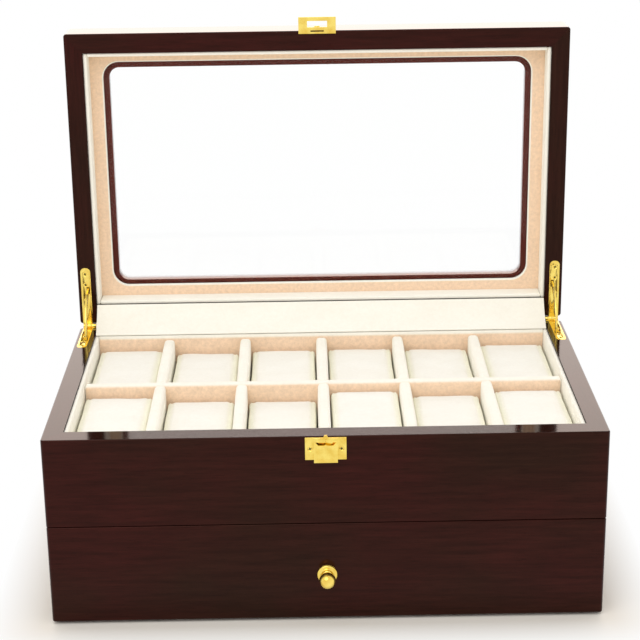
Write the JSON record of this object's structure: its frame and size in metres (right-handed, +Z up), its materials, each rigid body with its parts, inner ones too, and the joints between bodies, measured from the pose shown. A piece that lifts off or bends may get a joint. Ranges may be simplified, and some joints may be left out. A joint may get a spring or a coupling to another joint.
{
  "type": "watch box with drawer",
  "caption": "Lacquered wooden watch box: glass-topped hinged lid over a padded tray with cushions, drawer below.",
  "frame": {"origin": "centre of the felt under the base, in the plane that the box stands on", "axes": "+X to the right of someone facing the drawer, +Y to the back, +Z up; lid open at a right angle, drawer shut"},
  "size_m": [0.335, 0.2405, 0.3343],
  "materials": {
    "lacquered_wood": "high gloss lacquer",
    "plain_board": "satin lacquer",
    "suede_cream": "suede cloth",
    "suede_peach": "suede cloth",
    "velvet_cream": "velvet",
    "brass": "polished",
    "steel": "zinc plated",
    "glass": "clear",
    "felt": "felt"
  },
  "bodies": {
    "carcase": {"carcase_left_side": "lacquered_wood", "carcase_right_side": "lacquered_wood", "carcase_back": "lacquered_wood", "carcase_front_panel": "lacquered_wood", "carcase_deck": "plain_board", "carcase_base": "plain_board", "base_felt": "felt", "tray_floor_lining": "suede_cream", "tray_wall_linings": "suede_cream", "tray_back_lining": "suede_cream", "tray_long_divider": "suede_cream", "tray_cross_dividers": "suede_cream", "hinge_carcase_leaf_left": "brass", "hinge_carcase_leaf_right": "brass", "hinge_carcase_screws": "brass", "hinge_pins": "brass", "catch_base": "brass", "catch_pin": "brass", "catch_screws": "brass", "catch_spring": "steel", "hinge_cover_flap": "suede_cream"},
    "lid": {"lid_front_rail": "lacquered_wood", "lid_back_rail": "lacquered_wood", "lid_left_rail": "lacquered_wood", "lid_right_rail": "lacquered_wood", "lid_top_frame": "lacquered_wood", "lid_glass": "glass", "lid_window_lining": "suede_peach", "lid_wall_linings": "suede_cream", "hinge_lid_leaf_left": "brass", "hinge_lid_leaf_right": "brass", "hinge_lid_screws": "brass", "strike_plate": "brass", "strike_screw": "brass"},
    "hinge_arm_left": {"hinge_arm_left": "brass"},
    "hinge_arm_right": {"hinge_arm_right": "brass"},
    "catch_lever": {"catch_lever": "brass"},
    "drawer": {"drawer_front": "lacquered_wood", "drawer_sides": "plain_board", "drawer_back": "plain_board", "drawer_bottom": "plain_board", "drawer_floor_lining": "suede_cream", "drawer_wall_linings": "suede_cream", "drawer_long_divider": "suede_cream", "drawer_cross_dividers": "suede_cream", "drawer_cushions": "velvet_cream", "drawer_knob": "brass", "knob_screw": "steel"},
    "tray_cushion_01": {"tray_cushion_01": "velvet_cream"},
    "tray_cushion_02": {"tray_cushion_02": "velvet_cream"},
    "tray_cushion_03": {"tray_cushion_03": "velvet_cream"},
    "tray_cushion_04": {"tray_cushion_04": "velvet_cream"},
    "tray_cushion_05": {"tray_cushion_05": "velvet_cream"},
    "tray_cushion_06": {"tray_cushion_06": "velvet_cream"},
    "tray_cushion_07": {"tray_cushion_07": "velvet_cream"},
    "tray_cushion_08": {"tray_cushion_08": "velvet_cream"},
    "tray_cushion_09": {"tray_cushion_09": "velvet_cream"},
    "tray_cushion_10": {"tray_cushion_10": "velvet_cream"},
    "tray_cushion_11": {"tray_cushion_11": "velvet_cream"},
    "tray_cushion_12": {"tray_cushion_12": "velvet_cream"}
  },
  "joints": [
    {"name": "lid_hinge", "type": "hinge", "parent": "carcase", "child": "lid", "pos_m": [0, 0.10265, 0.12185], "axis": [-1, 0, 0], "range_deg": [-90, 0], "deforming": ["hinge_cover_flap"]},
    {"name": "drawer_slide", "type": "slide", "parent": "carcase", "child": "drawer", "axis": [0, -1, 0], "range_m": [0, 0.15]},
    {"name": "catch_lever_press", "type": "hinge", "parent": "carcase", "child": "catch_lever", "pos_m": [0, -0.10265, 0.112], "axis": [1, 0, 0], "range_deg": [0, 14], "stiffness_Nm_per_rad": 0.02, "springref_deg": -11.46, "deforming": ["catch_spring"]},
    {"name": "hinge_arm_left_turn", "type": "hinge", "parent": "carcase", "child": "hinge_arm_left", "pos_m": [0, 0.10265, 0.12185], "axis": [-1, 0, 0], "range_deg": [-62, 0]},
    {"name": "hinge_arm_right_turn", "type": "hinge", "parent": "carcase", "child": "hinge_arm_right", "pos_m": [0, 0.10265, 0.12185], "axis": [-1, 0, 0], "range_deg": [-62, 0]},
    {"name": "tray_cushion_01_lift", "type": "slide", "parent": "carcase", "child": "tray_cushion_01", "axis": [0, 0, 1], "range_m": [0, 0.06]},
    {"name": "tray_cushion_02_lift", "type": "slide", "parent": "carcase", "child": "tray_cushion_02", "axis": [0, 0, 1], "range_m": [0, 0.06]},
    {"name": "tray_cushion_03_lift", "type": "slide", "parent": "carcase", "child": "tray_cushion_03", "axis": [0, 0, 1], "range_m": [0, 0.06]},
    {"name": "tray_cushion_04_lift", "type": "slide", "parent": "carcase", "child": "tray_cushion_04", "axis": [0, 0, 1], "range_m": [0, 0.06]},
    {"name": "tray_cushion_05_lift", "type": "slide", "parent": "carcase", "child": "tray_cushion_05", "axis": [0, 0, 1], "range_m": [0, 0.06]},
    {"name": "tray_cushion_06_lift", "type": "slide", "parent": "carcase", "child": "tray_cushion_06", "axis": [0, 0, 1], "range_m": [0, 0.06]},
    {"name": "tray_cushion_07_lift", "type": "slide", "parent": "carcase", "child": "tray_cushion_07", "axis": [0, 0, 1], "range_m": [0, 0.06]},
    {"name": "tray_cushion_08_lift", "type": "slide", "parent": "carcase", "child": "tray_cushion_08", "axis": [0, 0, 1], "range_m": [0, 0.06]},
    {"name": "tray_cushion_09_lift", "type": "slide", "parent": "carcase", "child": "tray_cushion_09", "axis": [0, 0, 1], "range_m": [0, 0.06]},
    {"name": "tray_cushion_10_lift", "type": "slide", "parent": "carcase", "child": "tray_cushion_10", "axis": [0, 0, 1], "range_m": [0, 0.06]},
    {"name": "tray_cushion_11_lift", "type": "slide", "parent": "carcase", "child": "tray_cushion_11", "axis": [0, 0, 1], "range_m": [0, 0.06]},
    {"name": "tray_cushion_12_lift", "type": "slide", "parent": "carcase", "child": "tray_cushion_12", "axis": [0, 0, 1], "range_m": [0, 0.06]}
  ],
  "couplings": [
    {"joint": "hinge_arm_left_turn", "follows": "lid_hinge", "ratio": 0.68648},
    {"joint": "hinge_arm_right_turn", "follows": "lid_hinge", "ratio": 0.68648}
  ]
}
